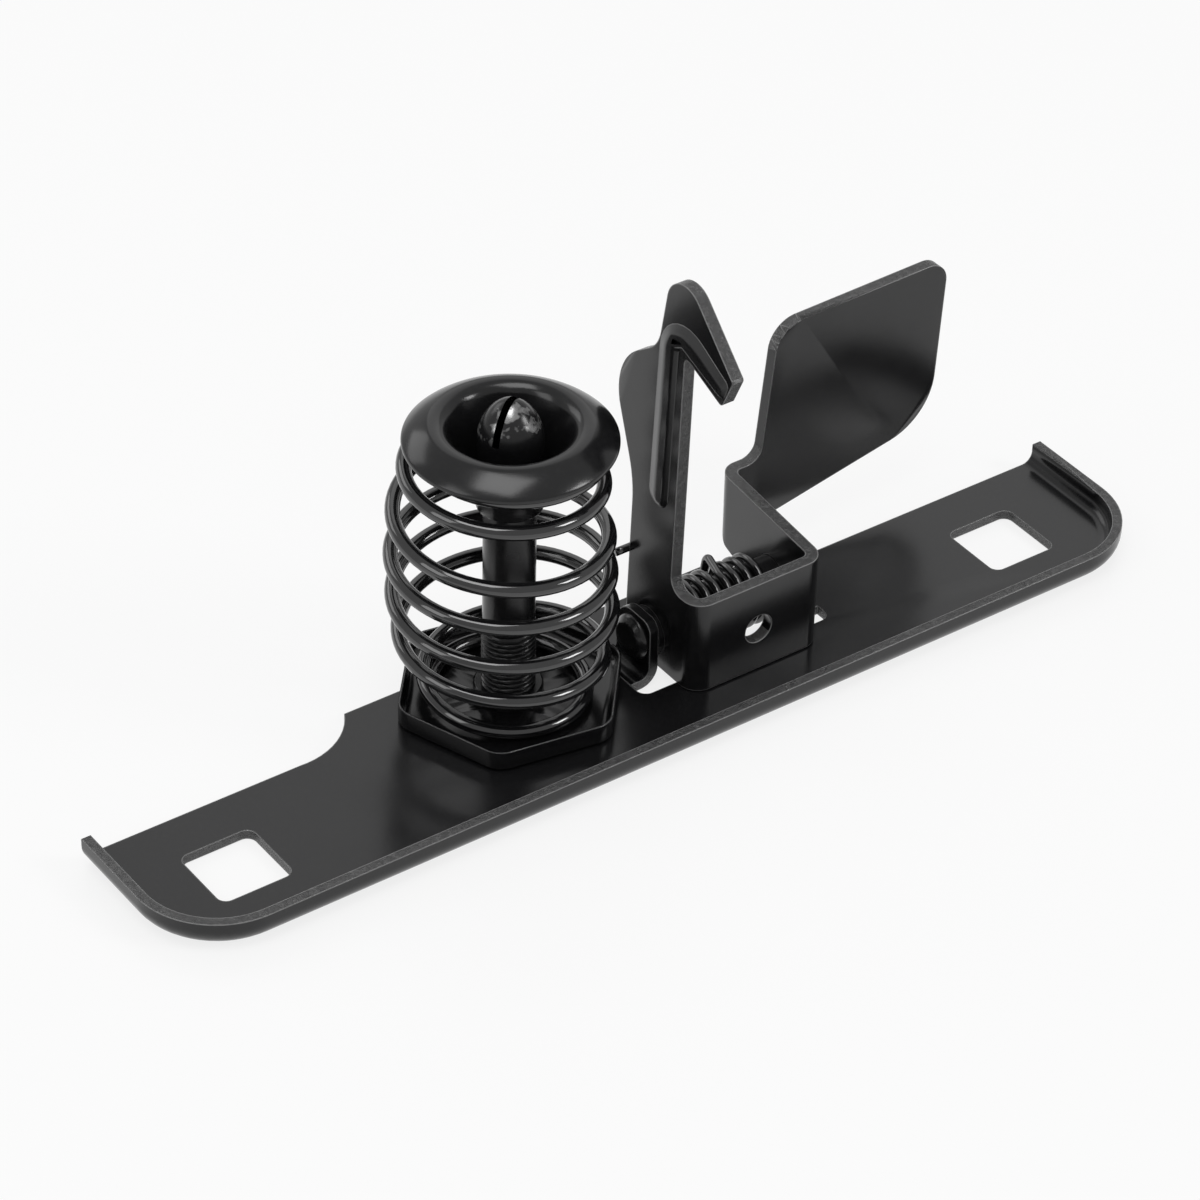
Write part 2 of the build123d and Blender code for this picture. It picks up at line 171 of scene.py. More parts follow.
def mapRange(nodes, links, value, low, high, toLow, toHigh):
    node = nodes.new("ShaderNodeMapRange")
    links.new(value, node.inputs["Value"])
    node.inputs["From Min"].default_value = low
    node.inputs["From Max"].default_value = high
    node.inputs["To Min"].default_value = toLow
    node.inputs["To Max"].default_value = toHigh
    return node.outputs["Result"]


def bumpNode(nodes, links, height, strength, under):
    bump = nodes.new("ShaderNodeBump")
    bump.inputs["Strength"].default_value = strength
    bump.inputs["Distance"].default_value = mm
    links.new(height, bump.inputs["Height"])
    links.new(under, bump.inputs["Normal"])
    return bump.outputs["Normal"]


# Each noise is a scale, a detail and a roughness; each span is where a value goes from none to full
glossSet = {
    "base": (0.0055, 0.0055, 0.006),
    "baseWorn": (0.010, 0.010, 0.0105),
    "roughness": (0.17, 0.25),
    "specular": 0.45,
    "cloudNoise": (60.0, 3.0, 0.5),
    "cloudSpan": (0.3, 0.7),
    "speckNoise": (1040.0, 4.0, 0.6),
    "speckSpan": (0.5, 0.8),
    "peelNoise": (900.0, 3.0, 0.5),
    "peelHeight": 0.006,
    "gritNoise": (2600.0, 5.0, 0.65),
    "gritHeight": 0.0,
    "edgeRound": 0.0004,
    "edgeSamples": 8,
    "edgeSpan": (0.995, 0.94),
    # corner colour: partly worn coat, partly a painted highlight that stands in for the glint on
    # rounded edges
    "edgeWearAndGlint": (0.16, 0.16, 0.16),
    "scuffNoise": (230.0, 3.0, 0.55),
    "scuffSpan": (0.57, 0.63),
    "scuffAbove": None,  # height where the scuffs begin, or None for a piece without them
    "scuffFade": 0.002,
    "bareMetal": (0.30, 0.30, 0.30),
}


# Black coat: a cloudy roughness, a fine peel and softly rounded corners
def glossBlack(name, s):
    mat = bpy.data.materials.new(name)
    mat.use_nodes = True
    nodes, links = mat.node_tree.nodes, mat.node_tree.links
    shader = nodes["Principled BSDF"]
    shader.inputs["Specular IOR Level"].default_value = s["specular"]
    where = nodes.new("ShaderNodeTexCoord").outputs["Object"]
    cloud = noiseNode(nodes, links, where, *s["cloudNoise"])
    roughness = mapRange(nodes, links, cloud, *s["cloudSpan"], *s["roughness"])
    links.new(roughness, shader.inputs["Roughness"])
    tint = nodes.new("ShaderNodeMix")
    tint.data_type = "RGBA"
    tint.inputs["A"].default_value = (*s["base"], 1)
    tint.inputs["B"].default_value = (*s["baseWorn"], 1)
    speck = noiseNode(nodes, links, where, *s["speckNoise"])
    links.new(mapRange(nodes, links, speck, *s["speckSpan"], 0, 1), tint.inputs["Factor"])
    bevel = nodes.new("ShaderNodeBevel")
    bevel.samples = s["edgeSamples"]
    bevel.inputs["Radius"].default_value = s["edgeRound"]
    # corners are where the rounded normal turns away from the plain one: there the colour is lighter,
    # partly coat worn thin and partly a painted highlight along the edge
    turned = nodes.new("ShaderNodeVectorMath")
    turned.operation = "DOT_PRODUCT"
    links.new(bevel.outputs["Normal"], turned.inputs[0])
    links.new(nodes.new("ShaderNodeNewGeometry").outputs["Normal"], turned.inputs[1])
    wornAndGlinting = nodes.new("ShaderNodeMix")
    wornAndGlinting.data_type = "RGBA"
    cornerShare = mapRange(nodes, links, turned.outputs["Value"], *s["edgeSpan"], 0, 1)
    links.new(cornerShare, wornAndGlinting.inputs["Factor"])
    links.new(tint.outputs["Result"], wornAndGlinting.inputs["A"])
    # the lighter corner colour is partly wear and partly a painted highlight
    wornAndGlinting.inputs["B"].default_value = (*s["edgeWearAndGlint"], 1)
    links.new(wornAndGlinting.outputs["Result"], shader.inputs["Base Color"])
    peel = noiseNode(nodes, links, where, *s["peelNoise"])
    normal = bumpNode(nodes, links, peel, s["peelHeight"], bevel.outputs["Normal"])
    if s["gritHeight"] > 0:
        grit = noiseNode(nodes, links, where, *s["gritNoise"])
        normal = bumpNode(nodes, links, grit, s["gritHeight"], normal)
    links.new(normal, shader.inputs["Normal"])
    if s["scuffAbove"] is not None:
        # rubbed metal shows in patches on the nose, where the striker meets its hole
        patches = noiseNode(nodes, links, where, *s["scuffNoise"])
        bare = mapRange(nodes, links, patches, *s["scuffSpan"], 0, 1)
        split = nodes.new("ShaderNodeSeparateXYZ")
        links.new(where, split.inputs[0])
        full = s["scuffAbove"] + s["scuffFade"]
        above = mapRange(nodes, links, split.outputs["Z"], s["scuffAbove"], full, 0, 1)
        both = nodes.new("ShaderNodeMath")
        both.operation = "MULTIPLY"
        links.new(bare, both.inputs[0])
        links.new(above, both.inputs[1])
        rubbed = nodes.new("ShaderNodeMix")
        rubbed.data_type = "RGBA"
        links.new(both.outputs[0], rubbed.inputs["Factor"])
        links.new(wornAndGlinting.outputs["Result"], rubbed.inputs["A"])
        rubbed.inputs["B"].default_value = (*s["bareMetal"], 1)
        links.new(rubbed.outputs["Result"], shader.inputs["Base Color"])
        links.new(both.outputs[0], shader.inputs["Metallic"])
    return mat


sheetBlack = glossBlack("glossBlackSheet", glossSet)
# The sheared edges of the sheets are torn and grey under the coat
shearedEdge = glossBlack("shearedEdge", dict(
    glossSet, base=(0.008, 0.008, 0.0085), baseWorn=(0.05, 0.05, 0.05), roughness=(0.18, 0.32),
    specular=0.9, gritHeight=0.5, edgeWearAndGlint=(0.20, 0.20, 0.20), speckSpan=(0.42, 0.72),
))
# the seat's corners get a much brighter corner colour: partly wear, mostly a painted highlight along
# the rim's thin bright line
seatBlack = glossBlack("glossBlackSeat", dict(
    glossSet, roughness=(0.12, 0.2), edgeRound=0.00028, edgeWearAndGlint=(0.40, 0.40, 0.40),
))
cupBlack = glossBlack("glossBlackCup", dict(
    glossSet, roughness=(0.15, 0.22), gritHeight=0.014, edgeWearAndGlint=(0.02, 0.02, 0.02),
))
boltBlack = glossBlack("blackBolt", dict(
    glossSet, roughness=(0.18, 0.30), gritHeight=0.012,
    edgeRound=0.00012, edgeWearAndGlint=(0.06, 0.06, 0.06), scuffAbove=0.0632,
))
wireBlack = glossBlack("glossBlackWire", dict(
    glossSet, roughness=(0.06, 0.11), edgeRound=0.0001, specular=0.95,
))
print("materials are set")


# Pieces
def gridFaces(rows, cols, closeRows, closeCols):
    # Quads between neighbouring points of a grid, wrapped round where a direction closes
    i = np.arange(rows if closeRows else rows - 1)[:, None]
    j = np.arange(cols if closeCols else cols - 1)[None, :]
    a = i * cols + j
    b = i * cols + (j + 1) % cols
    c = ((i + 1) % rows) * cols + (j + 1) % cols
    d = ((i + 1) % rows) * cols + j
    return np.stack([a, b, c, d], axis=-1).reshape(-1, 4)


def addPiece(name, points, faces, body, node, mat):
    mesh = bpy.data.meshes.new(name)
    mesh.from_pydata(points.tolist(), [], faces)
    mesh.materials.append(mat)
    mesh.shade_smooth()
    piece = bpy.data.objects.new(name, mesh)
    bpy.context.scene.collection.objects.link(piece)
    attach(piece, body)
    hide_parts(node)
    return piece


def roundTube(path, radius, sides):
    # A circle carried along a path. Its two directions are square to the path, the first one also
    # to a reference, which leans from X to Z as the path turns along X and so never lies along it.
    heading = np.gradient(path, axis=0)
    heading = heading / np.linalg.norm(heading, axis=1)[:, None]
    lean = np.abs(heading[:, :1])
    reference = (1 - lean) * np.array([[1.0, 0, 0]]) + lean * np.array([[0, 0, 1.0]])
    across = np.cross(heading, reference)
    across = across / np.linalg.norm(across, axis=1)[:, None]
    other = np.cross(heading, across)
    turn = np.linspace(0, 2 * np.pi, sides, endpoint=False)[None, :, None]
    ring = radius * (np.cos(turn) * across[:, None] + np.sin(turn) * other[:, None])
    points = (path[:, None] + ring).reshape(-1, 3)
    count = len(path)
    faces = gridFaces(count, sides, False, True)[:, ::-1].tolist()
    faces.append(list(range(sides)))  # the two ends
    faces.append(list(range((count - 1) * sides, count * sides))[::-1])
    return points, faces


def smoothRows(rows, place):
    # Catmull-Rom curve through the rows of a table, at every place in an array
    last = len(rows) - 1
    whole = np.minimum(place.astype(int), last - 1)
    t = (place - whole)[:, None]
    a = rows[np.maximum(whole - 1, 0)]
    b = rows[whole]
    c = rows[whole + 1]
    d = rows[np.minimum(whole + 2, last)]
    return b + t * (c - a + t * (2 * a - 5 * b + 4 * c - d + t * (3 * (b - c) + d - a))) / 2


# Main spring: from the front, each half turn has a height, a radius and a lean, in millimetres
mainSpringSet = {
    "wire": 2.9,
    "coils": (
        (5.2, 14.9, 0.0), (5.2, 14.9, 0.0), (5.6, 14.9, 0.0), (10.3, 17.2, 0.3),
        (16.6, 19.7, 0.9), (21.6, 20.1, 0.4), (25.0, 20.3, 1.5), (30.2, 20.2, 1.4),
        (34.0, 20.3, 1.5), (38.3, 20.2, 2.0), (42.6, 20.1, 1.6), (49.6, 19.5, 1.9),
        (54.3, 18.6, 1.6), (57.7, 17.8, 0.9), (60.0, 16.9, 0.2), (61.3, 15.9, 0.0),
        (62.0, 14.9, 0.0),
    ),
    "frontAngle": 234.0,
    "leanAngle": 144.0,
    "firstHalfTurn": 0.5,
    "stepsPerHalfTurn": 36,
    "sides": 28,
    "squashedHeight": 0.6657,  # of the free height, when the cup is fully down
}


def makeMainSpring(s):
    rows = np.array(s["coils"])
    last = len(rows) - 1
    place = np.linspace(s["firstHalfTurn"], last, last * s["stepsPerHalfTurn"])
    height, radius, lean = smoothRows(rows, place).T
    angle = np.radians(s["frontAngle"] - 180 * place)
    leanAngle = np.radians(s["leanAngle"])
    path = np.stack([
        radius * np.cos(angle) + lean * np.cos(leanAngle),
        radius * np.sin(angle) + lean * np.sin(leanAngle),
        height,
    ], axis=1) * mm
    points, faces = roundTube(path, s["wire"] / 2 * mm, s["sides"])
    spring = addPiece("coiledMainSpring", points, faces, "base", "main_spring", wireBlack)
    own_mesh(spring)


makeMainSpring(mainSpringSet)
print("main spring is made")

# Catch spring: a torsion coil round the pivot, in millimetres
catchSpringSet = {
    "wire": 1.6,
    "pivotY": -5.2,
    "pivotZ": 9.2,
    "radius": 6.3,
    "left": 33.4,
    "pitch": 2.5,
    "turns": 8,
    "loopTurn": 5,
    "loopArc": 0.25,
    "loopBack": 6.3,
    "loopLean": 1.4,
    "legY": 2.75,
    "legZ": 23.6,
    "legEnd": 26.4,
    "footY": 5.0,
    "footEnd": 7.0,
    "footZ": 5.8,
    "bend": 1.5,
    "bendSteps": 12,
    "loopSteps": 16,
    "legStep": 1.0,
    "shortStep": 0.5,
    "closest": 0.02,  # path points nearer than this to the one before are left out
    "stepsPerTurn": 48,
    "sides": 20,
}


def roundedCorner(before, corner, after, radius, steps):
    # Points of the arc that is tangent to both runs at a corner
    u = (before - corner) / np.linalg.norm(before - corner)
    v = (after - corner) / np.linalg.norm(after - corner)
    half = np.arccos(np.clip(u @ v, -1, 1)) / 2
    middle = (u + v) / np.linalg.norm(u + v)
    centre = corner + middle * radius / np.sin(half)
    reach = radius / np.tan(half)
    first = corner + u * reach - centre
    last = corner + v * reach - centre
    sweep = np.arccos(np.clip(first @ last / radius**2, -1, 1))
    t = np.linspace(0, 1, steps)[:, None]
    return centre + (np.sin((1 - t) * sweep) * first + np.sin(t * sweep) * last) / np.sin(sweep)


def makeCatchSpring(s):
    y, z, r = s["pivotY"], s["pivotZ"], s["radius"]

    def touching(py, pz, side):
        # Angle, in turns, where a straight leg from a point touches the coil
        reach = np.hypot(py - y, pz - z)
        return (np.arctan2(pz - z, py - y) + side * np.arccos(r / reach)) / (2 * np.pi)

    def coil(turn):
        angle = 2 * np.pi * (first - turn)
        return np.stack([
            s["left"] + s["pitch"] * turn, y + r * np.cos(angle), z + r * np.sin(angle)
        ], axis=-1)

    def heading(turn):
        angle = 2 * np.pi * (first - turn)
        return np.array([s["pitch"] / (2 * np.pi * r), np.sin(angle), -np.cos(angle)])

    def straight(start, end, step):
        count = max(int(np.linalg.norm(end - start) / step), 2)
        return start + (end - start) * np.linspace(0, 1, count)[:, None]

    first = touching(s["legY"], s["legZ"], -1)
    last = first - touching(s["footY"], s["footZ"], 1) + s["turns"]
    loopStart = first - s["loopArc"] + s["loopTurn"]
    loopEnd = loopStart + s["loopArc"]
    loopX = s["left"] + s["pitch"] * (loopStart + loopEnd) / 2 + s["loopLean"]
    start, end = coil(0.0), coil(last)
    legCorner = start - heading(0.0) * (s["legZ"] - start[2]) / -heading(0.0)[2]
    footCorner = end + heading(last) * (end[2] - s["footZ"]) / -heading(last)[2]
    legTip = np.array([s["legEnd"], s["legY"], s["legZ"]])
    footTip = np.array([footCorner[0], s["footEnd"], s["footZ"]])
    loopCorner = np.array([loopX, y + s["loopBack"], z + r])
    legArc = roundedCorner(legTip, legCorner, start, s["bend"], s["bendSteps"])
    loopArc = roundedCorner(
        coil(loopStart), loopCorner, coil(loopEnd), s["bend"], s["loopSteps"]
    )
    footArc = roundedCorner(end, footCorner, footTip, s["bend"], s["bendSteps"])
    steps, far, near = s["stepsPerTurn"], s["legStep"], s["shortStep"]
    runs = [
        straight(legTip, legArc[0], far), legArc, straight(legArc[-1], start, far),
        coil(np.linspace(0, loopStart, int(loopStart * steps))),
        straight(coil(loopStart), loopArc[0], near), loopArc,
        straight(loopArc[-1], coil(loopEnd), near),
        coil(np.linspace(loopEnd, last, int((last - loopEnd) * steps))),
        straight(end, footArc[0], near), footArc, straight(footArc[-1], footTip, near),
    ]
    path = np.concatenate(runs)
    apart = np.linalg.norm(np.diff(path, axis=0), axis=1) > s["closest"]
    path = path[np.concatenate([[True], apart])] * mm
    points, faces = roundTube(path, s["wire"] / 2 * mm, s["sides"])
    addPiece("coiledCatchSpring", points, faces, "catch", "catch_spring", wireBlack)


makeCatchSpring(catchSpringSet)
print("catch spring is made")

# Spring cup: the section's sheet middle goes from the neck over the crown to the lip
cupSet = {
    "sheet": 1.2,
    "neckRadius": 5.75,
    "neckBottom": 47.3,
    "neckTop": 49.5,
    "coneAngle": 24.4,
    "slopeAngle": 34.9,
    "crownEnd": 24.0,
    "browAngle": 46.0,
    "crownTop": 64.9,
    "crownRound": 2.37,
    "lipRadius": 19.4,
    "lipTop": 61.85,
    "lipBottom": 61.2,
    "lipRound": 0.28,
    "lipLand": 0.1,
    "innerLip": 0.5,
    "crownSteps": 20,
    "slopeSteps": 14,
    "lipSteps": 6,
    "endSteps": 7,
    "segments": 160,
}


def makeCup(s):
    cone, slope = np.radians(s["coneAngle"]), np.radians(s["slopeAngle"])
    crownEnd, browAngle = np.radians(s["crownEnd"]), np.radians(s["browAngle"])
    crownZ = s["crownTop"] - s["crownRound"]
    crownR = (
        s["lipRadius"] + (s["lipTop"] - crownZ) / np.tan(slope) - s["crownRound"] / np.sin(slope)
    )

    def side(offset):
        # One side of the sheet: neck, cone, crown arc, rounded slope and lip, offset from its middle
        angle = np.linspace(np.pi - cone, np.pi / 2 - crownEnd, s["crownSteps"])
        reach = s["crownRound"] + offset
        crown = np.stack([crownR + reach * np.cos(angle), crownZ + reach * np.sin(angle)], axis=1)
        foot = s["neckBottom"] + s["lipRound"]
        bend = s["neckTop"] + offset * np.tan(cone / 2)
        neck = [(s["neckRadius"] - offset, foot), (s["neckRadius"] - offset, bend)]
        # the slope steepens from the crown to the brow, which then turns down into the lip
        t = np.linspace(0, 1, s["slopeSteps"])[1:, None]
        edgeR = s["lipRadius"] + offset
        leave = np.array([np.cos(crownEnd), -np.sin(crownEnd)])
        arrive = np.array([np.cos(browAngle), -np.sin(browAngle)])
        start = crown[-1]
        brow = np.array([
            s["lipRadius"] + offset * np.sin(browAngle), s["lipTop"] + offset * np.cos(browAngle)
        ])
        along = np.linalg.solve(np.stack([leave, -arrive], axis=1), brow - start)[0]
        control = start + leave * along
        slopeRun = (1 - t) ** 2 * start + 2 * t * (1 - t) * control + t**2 * brow
        if offset < 0:
            lipInside = [(edgeR, s["lipBottom"] + s["innerLip"])]
            return np.concatenate([neck, crown, slopeRun[:-2], lipInside])
        low = np.array([edgeR, s["lipBottom"] + s["lipRound"] + s["lipLand"]])
        corner = brow + arrive * (edgeR - brow[0]) / arrive[0]
        t = np.linspace(0, 1, s["lipSteps"])[1:, None]
        lip = (1 - t) ** 2 * brow + 2 * t * (1 - t) * corner + t**2 * low
        return np.concatenate([neck, crown, slopeRun, lip])

    half = s["sheet"] / 2
    outer = side(half)
    inner = side(-half)[::-1]
    # each cut end is closed by half an ellipse
    turn = np.linspace(0, np.pi, s["endSteps"])[1:-1, None]
    end = np.concatenate([half * np.cos(turn), -s["lipRound"] * np.sin(turn)], axis=1)
    lipEnd = np.array([s["lipRadius"], s["lipBottom"] + s["lipRound"]]) + end
    neckEnd = np.array([s["neckRadius"], s["neckBottom"] + s["lipRound"]]) + end
    profile = np.concatenate([outer, lipEnd, inner, neckEnd])
    angle = np.linspace(0, 2 * np.pi, s["segments"], endpoint=False)[:, None]
    points = np.stack([
        profile[:, 0] * np.cos(angle), profile[:, 0] * np.sin(angle), profile[:, 1] + 0 * angle
    ], axis=-1).reshape(-1, 3) * mm
    faces = gridFaces(s["segments"], len(profile), True, True)
    addPiece("pressedCup", points, faces.tolist(), "cup", "spring_cup", cupBlack)


makeCup(cupSet)
print("cup is made")

# Striker bolt: rolled thread at the foot, plain shank, bullet head with a driver slot
boltSet = {
    "shank": 5.0,
    "bottom": 0.3,
    "footChamfer": 0.6,
    "threadBottom": 0.9,
    "threadTop": 20.2,
    "threadPitch": 1.05,
    "threadRoot": 4.62,
    "threadCrest": 5.18,
    "threadFade": 1.6,
    "threadStep": 0.1,
    "grooveFlat": 0.12,  # shares of half a pitch: the groove's floor, and the flank above it
    "flankRise": 0.62,
    "midShank": 35.0,
    "coneBottom": 49.2,
    "coneTop": 54.3,
    "head": 6.15,
    "midHead": 58.0,
    "shoulder": 62.8,
    "tip": 70.5,
    "noseRound": 1.7,
    "noseSteps": 26,
    "sharpAngle": 40.0,
    "segments": 96,
    "slotWidth": 1.4,
    "slotTurn": 28.6,
    "slotBottom": 63.5,
    "slotPast": 1.0,
}


def makeBolt(s):
    # Radius by height and angle: a lathe profile, and a triangle wave that climbs once each turn
    thread = np.arange(s["threadBottom"], s["threadTop"], s["threadStep"])
    nose = np.linspace(0, 1, s["noseSteps"])[:-1]
    noseRadius = s["head"] * np.cos(nose * np.pi / 2)
    rise = (1 - (noseRadius / s["head"]) ** s["noseRound"]) ** (1 / s["noseRound"])
    noseHeight = s["shoulder"] + (s["tip"] - s["shoulder"]) * rise
    profile = np.concatenate([
        [(s["shank"] - s["footChamfer"], s["bottom"])],
        np.stack([np.full(len(thread), s["shank"]), thread], axis=1),
        [(s["shank"], s["threadTop"] + s["threadStep"]), (s["shank"], s["midShank"])],
        [(s["shank"], s["coneBottom"]), (s["head"], s["coneTop"]), (s["head"], s["midHead"])],
        np.stack([noseRadius, noseHeight], axis=1),
    ])
    angle = np.linspace(0, 2 * np.pi, s["segments"], endpoint=False)[:, None]
    height = profile[:, 1] + 0 * angle
    phase = (height / s["threadPitch"] - angle / (2 * np.pi)) % 1
    wave = 1 - np.abs(2 * phase - 1)
    flat = np.clip((wave - s["grooveFlat"]) / s["flankRise"], 0, 1)
    cut = s["threadRoot"] + (s["threadCrest"] - s["threadRoot"]) * flat
    inThread = np.clip((s["threadTop"] - height) / s["threadFade"], 0, 1)
    inThread = inThread * (height >= s["threadBottom"])
    radius = profile[:, 0] * (1 - inThread) + cut * inThread
    points = np.stack([radius * np.cos(angle), radius * np.sin(angle), height], axis=-1).reshape(-1, 3)
    rows = len(profile)
    count = s["segments"] * rows
    points = np.concatenate([points, [(0, 0, s["bottom"]), (0, 0, s["tip"])]]) * mm
    faces = gridFaces(s["segments"], rows, True, False).tolist()
    here = np.arange(s["segments"])
    onward = (here + 1) % s["segments"]
    # fans of triangles close the foot and the nose
    for one, other, row, middle in ((onward, here, 0, count), (here, onward, rows - 1, count + 1)):
        fan = [one * rows + row, other * rows + row, np.full(len(here), middle)]
        faces += np.stack(fan, axis=1).tolist()
    bolt = addPiece("turnedBolt", points, faces, "base", "striker_bolt", boltBlack)
    cutSlot(bolt, s)


def cutSlot(bolt, s):
    # The slot is a turned box taken from the nose, which it passes at both ends and above
    long, wide = s["head"] + s["slotPast"], s["slotWidth"] / 2
    low, high = s["slotBottom"], s["tip"] + 2 * s["slotPast"]
    box = np.array([(x, y, z) for z in (low, high) for x, y in (
        (-long, -wide), (long, -wide), (long, wide), (-long, wide)
    )])
    turn = np.radians(s["slotTurn"])
    spin = np.array([[np.cos(turn), np.sin(turn), 0], [-np.sin(turn), np.cos(turn), 0], [0, 0, 1]])
    mesh = bpy.data.meshes.new("slotBox")
    sides = [(3, 2, 1, 0), (4, 5, 6, 7), (0, 1, 5, 4), (1, 2, 6, 5), (2, 3, 7, 6), (3, 0, 4, 7)]
    mesh.from_pydata((box @ spin * mm).tolist(), [], sides)
    cutter = bpy.data.objects.new("slotBox", mesh)
    bpy.context.scene.collection.objects.link(cutter)
    cut = bolt.modifiers.new("slot", "BOOLEAN")
    cut.operation = "DIFFERENCE"
    cut.solver = "EXACT"
    cut.object = cutter
    shaped = bolt.evaluated_get(bpy.context.evaluated_depsgraph_get())
    cutMesh = bpy.data.meshes.new_from_object(shaped)
    bolt.modifiers.clear()
    bpy.data.objects.remove(cutter)
    bolt.data = cutMesh
    cutMesh.set_sharp_from_angle(angle=np.radians(s["sharpAngle"]))


makeBolt(boltSet)
print("bolt is made")


# Bead pressed round the hook's throat: outline and middle line, as y and z in millimetres
beadSet = {
    "outline": (
        (-11.35, 76.6), (-9.5, 39.2), (-3.5, 39.2), (-6.2, 88.0), (-26.6, 77.4),
        (-25.0, 73.2), (-12.8, 77.4),
    ),
    "rounds": (0.8, 2.8, 2.8, 8.6, 1.4, 1.4, 0.8),
    "middle": ((-7.9, 41.4), (-9.6, 76.9), (-10.4, 79.0), (-12.4, 79.4), (-23.9, 75.3)),
    "face": 29.0,
    "rise": 0.8,
    "under": 0.3,
    "plateau": 0.6,  # share of the way to the middle line where the bead is at full height
    "ease": 0.25,
    "rings": 18,
    "roundSteps": 10,
    "step": 0.6,
    "proud": 0.01,
    "sharpAngle": 60.0,
}

# Points closer than the weld are one, and edges shorter than the sliver are dropped, in metres
weldSet = {"weld": 2e-6, "sliver": 1e-7}


def weldMesh(mesh, closed, s=weldSet):
    # Points that meet become one; a computed closed mesh also gets its faces turned outwards
    work = bmesh.new()
    work.from_mesh(mesh)
    bmesh.ops.remove_doubles(work, verts=work.verts, dist=s["weld"])
    if closed:
        bmesh.ops.dissolve_degenerate(work, edges=work.edges, dist=s["sliver"])
        bmesh.ops.recalc_face_normals(work, faces=work.faces)
    work.to_mesh(mesh)
    work.free()


def levelBead(mesh, s):
    # The frame's plain bead is pressed back level with the face, under the rounded one
    at = np.empty(len(mesh.vertices) * 3, np.float32)
    mesh.vertices.foreach_get("co", at)
    at = at.reshape(-1, 3)
    proud = at[:, 0] < (s["face"] - s["proud"]) * mm
    at[proud, 0] = s["face"] * mm
    mesh.vertices.foreach_set("co", at.ravel())
    mesh.update()


# Sheet pieces keep the frame's surfaces, merged so that their bends shade smoothly
def smoothCopy(node, name, body, mats, sharp=32.0, sheared=None):
    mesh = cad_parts[node].data.copy()
    mesh.name = name
    weldMesh(mesh, closed=False)
    if node == "catch":
        levelBead(mesh, beadSet)
    mesh.materials.clear()
    for mat in mats:
        mesh.materials.append(mat)
    mesh.shade_smooth()
    mesh.set_sharp_from_angle(angle=np.radians(sharp))
    if sheared is not None:
        count = len(mesh.polygons)
        normals = np.empty(count * 3)
        centres = np.empty(count * 3)
        mesh.polygons.foreach_get("normal", normals)
        mesh.polygons.foreach_get("center", centres)
        torn = sheared(np.abs(normals.reshape(-1, 3)), centres.reshape(-1, 3) / mm)
        mesh.polygons.foreach_set("material_index", torn.astype(np.int32))
    piece = bpy.data.objects.new(name, mesh)
    bpy.context.scene.collection.objects.link(piece)
    even = piece.modifiers.new("evenNormals", "WEIGHTED_NORMAL")
    even.keep_sharp = True
    even.weight = 100
    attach(piece, body)
    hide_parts(node)
    return piece


def nearestOn(line, points):
    # For every point, the closest point of a line of straight runs
    start, run = line[:-1], np.diff(line, axis=0)
    part = ((points[:, None] - start) * run).sum(axis=2) / (run**2).sum(axis=1)
    near = start + np.clip(part, 0, 1)[:, :, None] * run
    best = np.linalg.norm(near - points[:, None], axis=2).argmin(axis=1)
    return near[np.arange(len(points)), best]


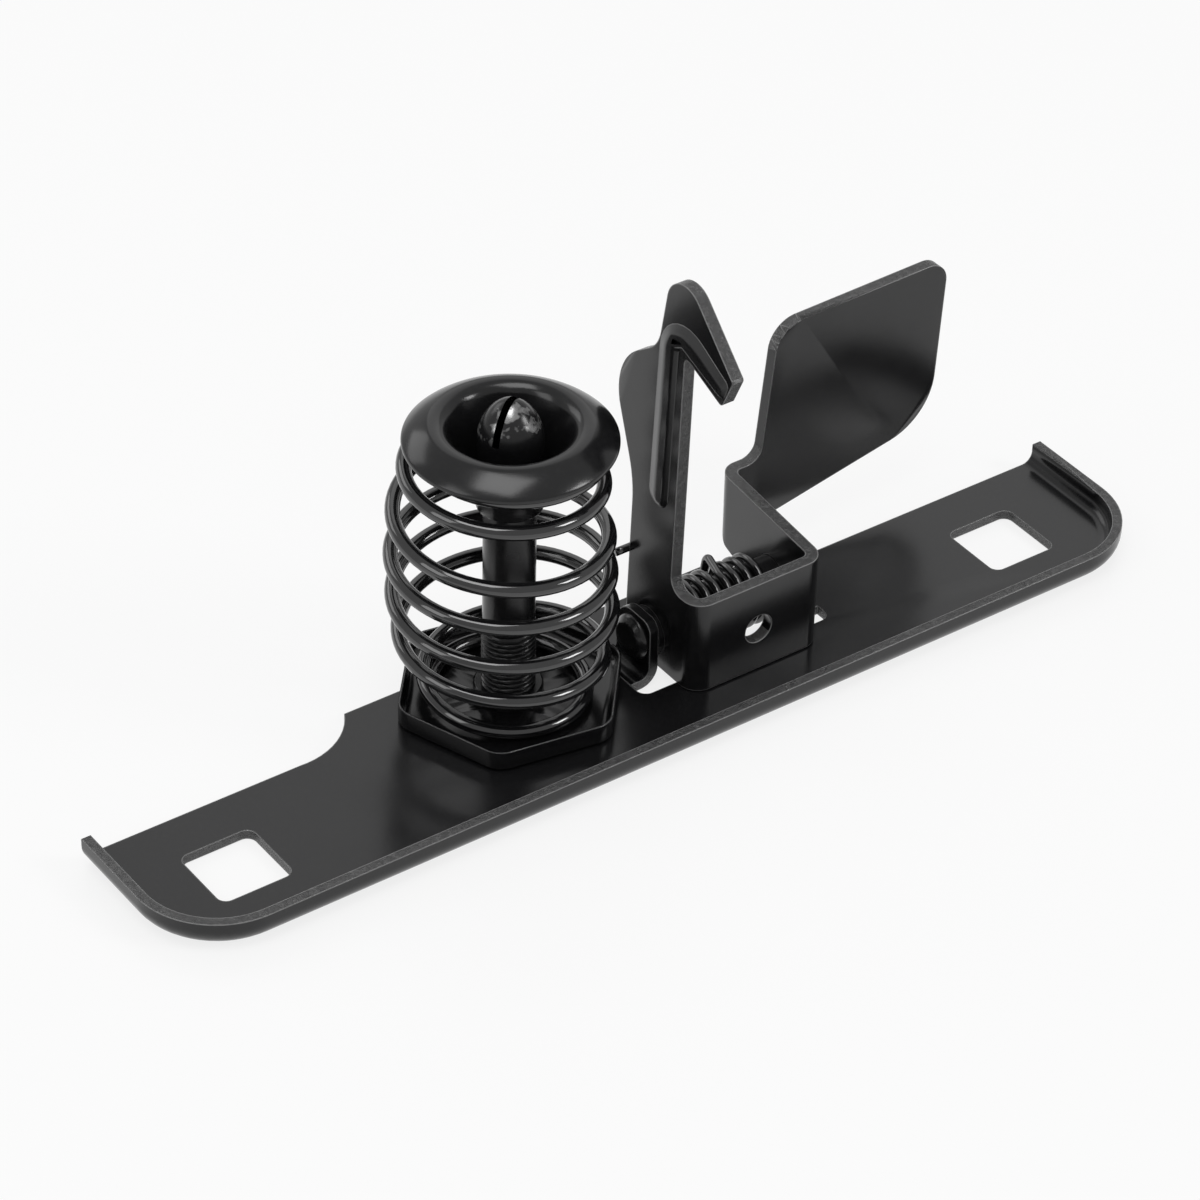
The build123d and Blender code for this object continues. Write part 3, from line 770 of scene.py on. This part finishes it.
def makeBead(s):
    corners = np.array(s["outline"])
    arcs = [
        roundedCorner(
            corners[i - 1], corners[i], corners[(i + 1) % len(corners)], r, s["roundSteps"]
        )
        for i, r in enumerate(s["rounds"])
    ]
    outline = []
    for arc, onward in zip(arcs, arcs[1:] + arcs[:1]):
        count = max(int(np.linalg.norm(onward[0] - arc[-1]) / s["step"]), 2)
        run = arc[-1] + (onward[0] - arc[-1]) * np.linspace(0, 1, count)[1:-1, None]
        outline += [arc, run]
    outline = np.concatenate(outline)
    middle = nearestOn(np.array(s["middle"]), outline)
    # from under the face to the outline, then up an even slope to a flat top; both bends are eased
    t = np.concatenate([[0], np.linspace(0, 1, s["rings"])])[:, None, None]
    flat = outline * (1 - t) + middle * t
    up = t / s["plateau"]
    ease = s["ease"]
    rise = s["rise"] * np.where(
        up < 1 - ease, up, np.where(up > 1 + ease, 1, 1 - (1 + ease - up) ** 2 / (4 * ease))
    )
    rise[0] = -s["under"]
    x = s["face"] - np.broadcast_to(rise, flat[..., :1].shape)
    points = np.concatenate([x, flat], axis=2).reshape(-1, 3) * mm
    faces = gridFaces(len(t), len(outline), False, True).tolist()
    faces.append(list(range(len(outline)))[::-1])
    mesh = bpy.data.meshes.new("hookBead")
    mesh.from_pydata(points.tolist(), [], faces)
    weldMesh(mesh, closed=True)
    mesh.materials.append(sheetBlack)
    mesh.shade_smooth()
    mesh.set_sharp_from_angle(angle=np.radians(s["sharpAngle"]))
    piece = bpy.data.objects.new("hookBead", mesh)
    bpy.context.scene.collection.objects.link(piece)
    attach(piece, "catch")


makeBead(beadSet)
print("bead is made")


# Where the sheared edges lie, in millimetres, and how far their normals turn to an axis
plateEdgeSet = {"rimLow": 5.9, "rimHigh": 6.5, "sheetTop": 2.1, "faceUp": 0.9, "faceLevel": 0.1}
catchEdgeSet = {
    "hookRight": 31.8,
    "hookBottom": 22.0,
    "hookFoot": 22.2,
    "foldTop": 22.6,
    "paddleLeft": 63.0,
    "paddleRight": 105.0,
    "acrossHook": 0.2,
    "alongHook": 0.9,
    "foldUp": 0.5,
    "acrossPaddle": 0.3,
    "paddleUp": 0.2,
}


def plateEdges(normal, at, s=plateEdgeSet):
    # The rim's top, and the edges of the holes and the back
    up, z = normal[:, 2], at[:, 2]
    rimTop = (up > s["faceUp"]) & (z > s["rimLow"]) & (z < s["rimHigh"])
    return rimTop | ((up < s["faceLevel"]) & (z < s["sheetTop"]))


def catchEdges(normal, at, s=catchEdgeSet):
    # Across the hook plate, above and below the web and arm, and round the paddle
    x, z = at[:, 0], at[:, 2]
    toX, toY, toZ = normal.T
    hook = (x < s["hookRight"]) & (z > s["hookBottom"]) & (toX < s["acrossHook"])
    hook = hook & ((z > s["hookFoot"]) | (toY < s["alongHook"]))
    folded = (toZ > s["foldUp"]) & (z < s["foldTop"])
    paddle = (x > s["paddleLeft"]) & (toY < s["acrossPaddle"])
    paddle = paddle & ((toZ > s["paddleUp"]) | (x > s["paddleRight"]))
    return hook | folded | paddle


sheetLooks = (sheetBlack, shearedEdge)
smoothCopy("base_plate", "pressedPlate", "base", sheetLooks, sheared=plateEdges)
smoothCopy("catch", "foldedCatch", "catch", sheetLooks, sheared=catchEdges)
smoothCopy("spring_seat", "pressedSeat", "base", (seatBlack,), sharp=50.0)
smoothCopy("threaded_bush", "stakedBush", "base", (boltBlack,))
smoothCopy("pivot_sleeve", "plainSleeve", "base", (boltBlack,))
smoothCopy("pivot_rivet", "headedRivet", "base", (boltBlack,), sharp=60.0)
print("sheet pieces are made")
